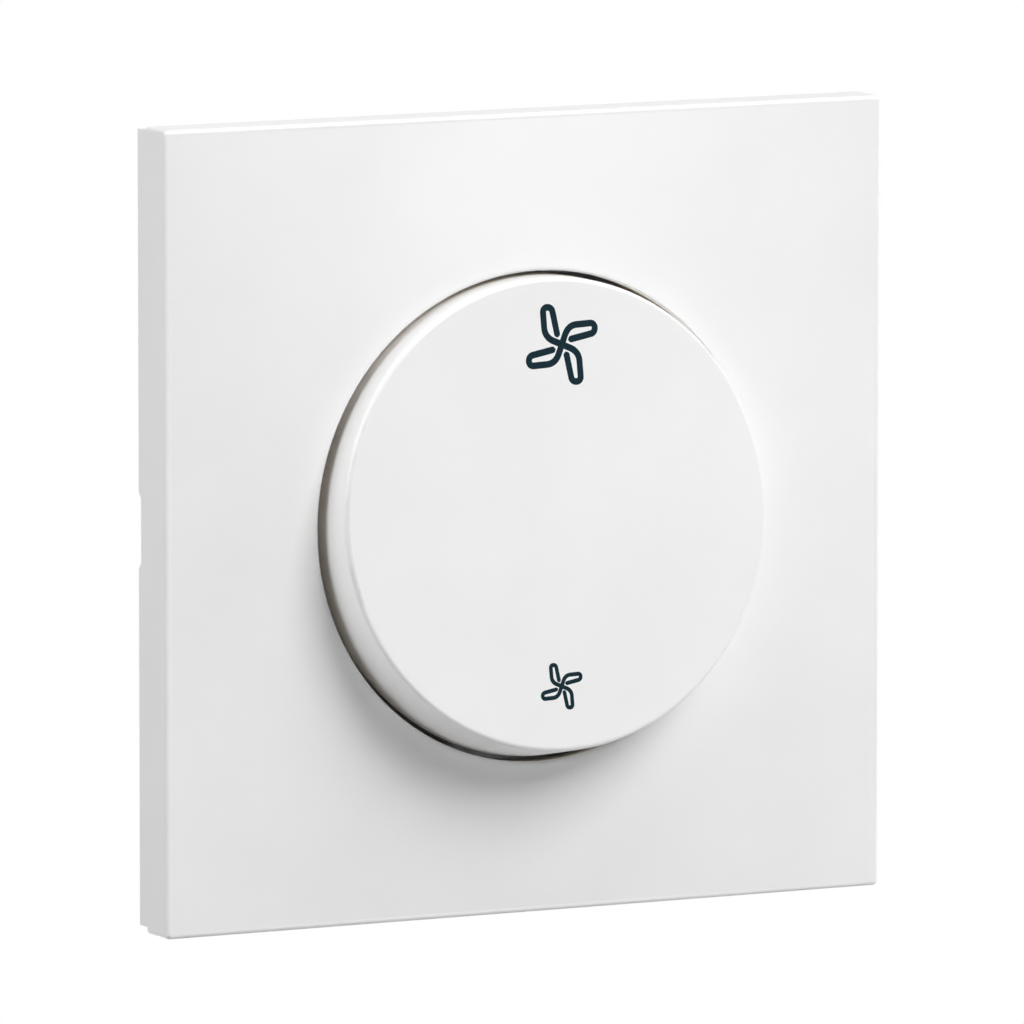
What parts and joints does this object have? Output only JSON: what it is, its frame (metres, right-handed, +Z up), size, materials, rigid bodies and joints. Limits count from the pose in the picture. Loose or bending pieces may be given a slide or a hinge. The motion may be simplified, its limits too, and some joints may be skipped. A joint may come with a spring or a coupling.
{
  "type": "fan switch",
  "caption": "Wall switch for a fan: square crowned cover plate, large round rocker that tips up or down, steel yoke, and a mechanism housing with push-in wire ports.",
  "frame": {"origin": "centre of the wall plane, behind the centre of the round opening", "axes": "+Z up, the switch faces -Y, and the wall is the plane Y = 0"},
  "size_m": [0.08, 0.0387, 0.08],
  "materials": {
    "white_cover": "satin white moulding",
    "pale_moulding": "pale grey moulding",
    "grey_moulding": "light grey moulding",
    "lever_moulding": "dark grey moulding",
    "zinc_steel": "zinc-plated sheet",
    "spring_steel": "bright spring steel",
    "copper_strip": "pressed copper strip",
    "silver_button": "silver contact button"
  },
  "bodies": {
    "base": {"cover_plate": "white_cover", "support_yoke": "zinc_steel", "mechanism_housing": "grey_moulding", "rear_cover": "grey_moulding", "common_terminal": "copper_strip", "slow_terminal": "copper_strip", "fast_terminal": "copper_strip", "fixed_contact_slow": "silver_button", "fixed_contact_fast": "silver_button", "clamp_spring_common_left": "spring_steel", "clamp_spring_common_right": "spring_steel", "clamp_spring_slow_left": "spring_steel", "clamp_spring_slow_right": "spring_steel", "clamp_spring_fast_left": "spring_steel", "clamp_spring_fast_right": "spring_steel"},
    "rocker": {"rocker_disc": "white_cover", "rocker_carrier": "pale_moulding", "toggle_spring": "spring_steel"},
    "plunger": {"toggle_plunger": "pale_moulding"},
    "blade": {"contact_blade": "copper_strip", "moving_contact_slow": "silver_button", "moving_contact_fast": "silver_button"},
    "lever_common": {"release_lever_common": "lever_moulding"},
    "lever_slow": {"release_lever_slow": "lever_moulding"},
    "lever_fast": {"release_lever_fast": "lever_moulding"}
  },
  "joints": [
    {"name": "rocker_tilt", "type": "hinge", "parent": "base", "child": "rocker", "pos_m": [0, -0.0051, 0], "axis": [1, 0, 0], "range_deg": [0, 10]},
    {"name": "plunger_slide", "type": "slide", "parent": "rocker", "child": "plunger", "axis": [0, -0.9962, 0.0872], "range_m": [0, 0.0008], "stiffness_N_per_m": 500, "deforming": ["toggle_spring"]},
    {"name": "blade_swing", "type": "hinge", "parent": "base", "child": "blade", "pos_m": [0, 0.00991, 0], "axis": [1, 0, 0], "range_deg": [-18, 0]},
    {"name": "release_common", "type": "slide", "parent": "base", "child": "lever_common", "axis": [0, -1, 0], "range_m": [0, 0.0015], "stiffness_N_per_m": 600, "deforming": ["clamp_spring_common_left", "clamp_spring_common_right"]},
    {"name": "release_slow", "type": "slide", "parent": "base", "child": "lever_slow", "axis": [0, -1, 0], "range_m": [0, 0.0015], "stiffness_N_per_m": 600, "deforming": ["clamp_spring_slow_left", "clamp_spring_slow_right"]},
    {"name": "release_fast", "type": "slide", "parent": "base", "child": "lever_fast", "axis": [0, -1, 0], "range_m": [0, 0.0015], "stiffness_N_per_m": 600, "deforming": ["clamp_spring_fast_left", "clamp_spring_fast_right"]}
  ],
  "couplings": [
    {"joint": "blade_swing", "follows": "rocker_tilt", "ratio": -1.8}
  ]
}
